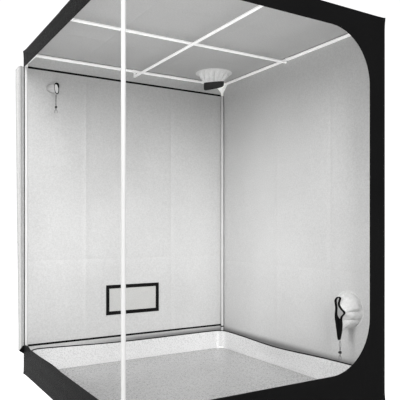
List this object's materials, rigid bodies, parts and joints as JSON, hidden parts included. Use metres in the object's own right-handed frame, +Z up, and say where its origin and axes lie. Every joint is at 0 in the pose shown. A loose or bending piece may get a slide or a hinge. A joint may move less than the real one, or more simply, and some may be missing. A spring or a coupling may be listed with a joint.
{
  "type": "grow tent",
  "caption": "Indoor grow tent: push-fit steel tube frame in a reflective cloth cover with open doorways, duct sleeves, vent window, lamp bars and a floor tray.",
  "frame": {"origin": "on the ground, under the middle of the tent's floor", "axes": "+Z up, +X to the right along the back wall, +Y from the open front to the back"},
  "size_m": [1.5464, 1.5206, 2],
  "materials": {
    "frame_tube": "satin white",
    "corner_connector": "satin off-white",
    "cover_cloth": "matt black coated canvas, silver inside",
    "liner_cloth": "silver reflective film on cloth",
    "black_trim": "matt black tape",
    "zip_tape": "black coil zip",
    "zip_metal": "nickel plated",
    "window_mesh": "fine grey mesh",
    "drawcord": "braided elastic",
    "cord_lock": "black",
    "tray_cloth": "pale reflective coated cloth"
  },
  "bodies": {
    "tent": {"post_lower_front_left": "frame_tube", "post_lower_front_right": "frame_tube", "post_lower_back_left": "frame_tube", "post_lower_back_right": "frame_tube", "post_upper_front_left": "frame_tube", "post_upper_front_right": "frame_tube", "post_upper_back_left": "frame_tube", "post_upper_back_right": "frame_tube", "rail_top_front": "frame_tube", "rail_top_back": "frame_tube", "rail_top_left": "frame_tube", "rail_top_right": "frame_tube", "rail_foot_front": "frame_tube", "rail_foot_back": "frame_tube", "rail_foot_left": "frame_tube", "rail_foot_right": "frame_tube", "connector_top_front_left": "corner_connector", "connector_top_front_right": "corner_connector", "connector_top_back_left": "corner_connector", "connector_top_back_right": "corner_connector", "connector_foot_front_left": "corner_connector", "connector_foot_front_right": "corner_connector", "connector_foot_back_left": "corner_connector", "connector_foot_back_right": "corner_connector", "cover_roof": "cover_cloth", "cover_floor": "cover_cloth", "cover_right_wall": "cover_cloth", "cover_front_wall": "cover_cloth", "cover_left_top_band": "cover_cloth", "cover_left_sill": "cover_cloth", "cover_back_wall": "cover_cloth", "roof_duct_sleeve": "liner_cloth", "wall_duct_sleeve": "liner_cloth", "roof_duct_hem": "black_trim", "wall_duct_hem": "black_trim", "door_seam_tape": "black_trim", "post_strap": "black_trim", "rear_zip_chain": "zip_tape", "wall_duct_cord": "drawcord"},
    "lamp_bar_across": {"lamp_bar_across": "frame_tube"},
    "lamp_bar_deep": {"lamp_bar_deep": "frame_tube"},
    "rear_panel": {"rear_panel": "cover_cloth", "vent_border": "black_trim", "vent_mesh": "window_mesh", "cable_port_sleeve": "liner_cloth", "cable_port_hem": "black_trim", "cable_port_cord": "drawcord"},
    "vent_flap": {"vent_flap": "cover_cloth"},
    "door_roll": {"door_roll": "liner_cloth", "door_corner_fold": "cover_cloth"},
    "floor_tray": {"floor_tray": "tray_cloth", "tray_binding": "black_trim"},
    "cable_port_lock": {"cable_port_lock": "cord_lock"},
    "cable_port_lock_plunger": {"cable_port_lock_plunger": "cord_lock"},
    "wall_duct_lock": {"wall_duct_lock": "cord_lock"},
    "wall_duct_lock_plunger": {"wall_duct_lock_plunger": "cord_lock"},
    "zip_slider_low": {"zip_slider_low": "zip_metal"},
    "zip_pull_low": {"zip_pull_low": "zip_metal"},
    "zip_slider_side": {"zip_slider_side": "zip_metal"},
    "zip_pull_side": {"zip_pull_side": "zip_metal"}
  },
  "joints": [
    {"name": "lamp_bar_across_slide", "type": "slide", "parent": "tent", "child": "lamp_bar_across", "axis": [0, 1, 0], "range_m": [-0.64, 0.395]},
    {"name": "lamp_bar_deep_slide", "type": "slide", "parent": "tent", "child": "lamp_bar_deep", "axis": [1, 0, 0], "range_m": [-0.64, 0.385]},
    {"name": "rear_panel_hinge", "type": "hinge", "parent": "tent", "child": "rear_panel", "pos_m": [0.7357, 0.75, 0], "axis": [0, 0, 1], "range_deg": [-100, 0]},
    {"name": "vent_flap_hinge", "type": "hinge", "parent": "rear_panel", "child": "vent_flap", "pos_m": [0, 0.7508, 0.55], "axis": [1, 0, 0], "range_deg": [0, 150]},
    {"name": "door_roll_hinge", "type": "hinge", "parent": "tent", "child": "door_roll", "pos_m": [-0.7561, 0.75, 0], "axis": [0, 0, 1], "range_deg": [-70, 0]},
    {"name": "floor_tray_lift", "type": "slide", "parent": "tent", "child": "floor_tray", "axis": [0, 0, 1], "range_m": [0, 0.03]},
    {"name": "cable_port_lock_slide", "type": "slide", "parent": "rear_panel", "child": "cable_port_lock", "axis": [0, 0, 1], "range_m": [-0.01, 0.01]},
    {"name": "cable_port_lock_plunger_press", "type": "slide", "parent": "cable_port_lock", "child": "cable_port_lock_plunger", "axis": [0, 1, 0], "range_m": [0, 0.0025], "stiffness_N_per_m": 400},
    {"name": "wall_duct_lock_slide", "type": "slide", "parent": "tent", "child": "wall_duct_lock", "axis": [0, 0, 1], "range_m": [-0.01, 0.01]},
    {"name": "wall_duct_lock_plunger_press", "type": "slide", "parent": "wall_duct_lock", "child": "wall_duct_lock_plunger", "axis": [1, 0, 0], "range_m": [0, 0.0025], "stiffness_N_per_m": 400},
    {"name": "zip_slider_low_slide", "type": "slide", "parent": "tent", "child": "zip_slider_low", "axis": [1, 0, 0], "range_m": [0, 1.37]},
    {"name": "zip_pull_low_hinge", "type": "hinge", "parent": "zip_slider_low", "child": "zip_pull_low", "pos_m": [-0.661, 0.7555, 0.17], "axis": [0, 0, 1], "range_deg": [-150, 0]},
    {"name": "zip_slider_side_slide", "type": "slide", "parent": "tent", "child": "zip_slider_side", "axis": [0, 0, 1], "range_m": [0, 1.62]},
    {"name": "zip_pull_side_hinge", "type": "hinge", "parent": "zip_slider_side", "child": "zip_pull_side", "pos_m": [-0.731, 0.7555, 0.24], "axis": [1, 0, 0], "range_deg": [0, 150]}
  ]
}
